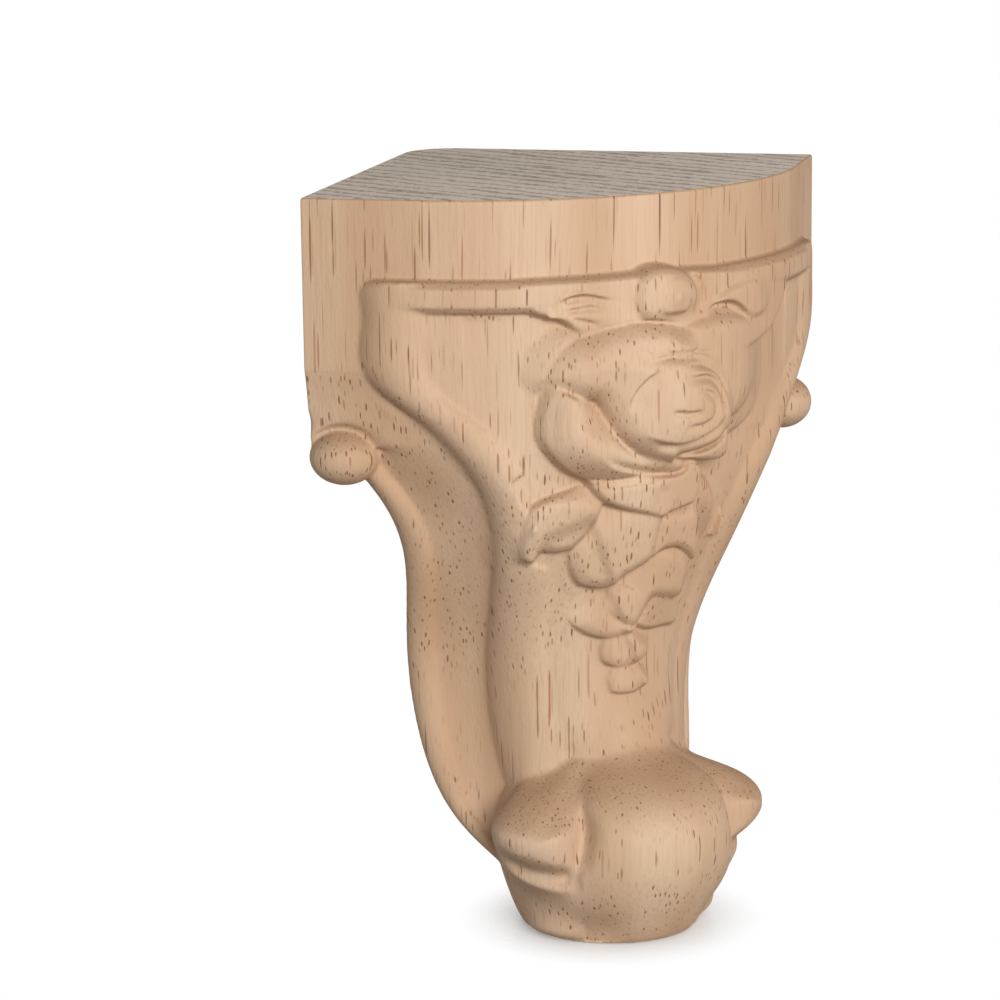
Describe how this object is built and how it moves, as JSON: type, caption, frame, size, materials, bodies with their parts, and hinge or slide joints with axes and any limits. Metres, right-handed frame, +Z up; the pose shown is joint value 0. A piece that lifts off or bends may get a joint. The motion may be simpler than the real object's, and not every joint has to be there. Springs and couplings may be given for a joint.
{
  "type": "furniture leg",
  "caption": "Short carved wooden furniture leg with a square mounting block, a raised border, a rose and leaf drop on the front and a lobed foot.",
  "frame": {"origin": "centre of the flat foot, on the floor", "axes": "+Z up to the mounting face, -Y to the carved front, X across; the flat mounting sides meet at the back corner on +Y"},
  "size_m": [0.0962, 0.0803, 0.12],
  "materials": {
    "bare_wood": "bare sanded hardwood with fine reddish pores"
  },
  "bodies": {
    "root": {"leg": "bare_wood"}
  },
  "joints": []
}
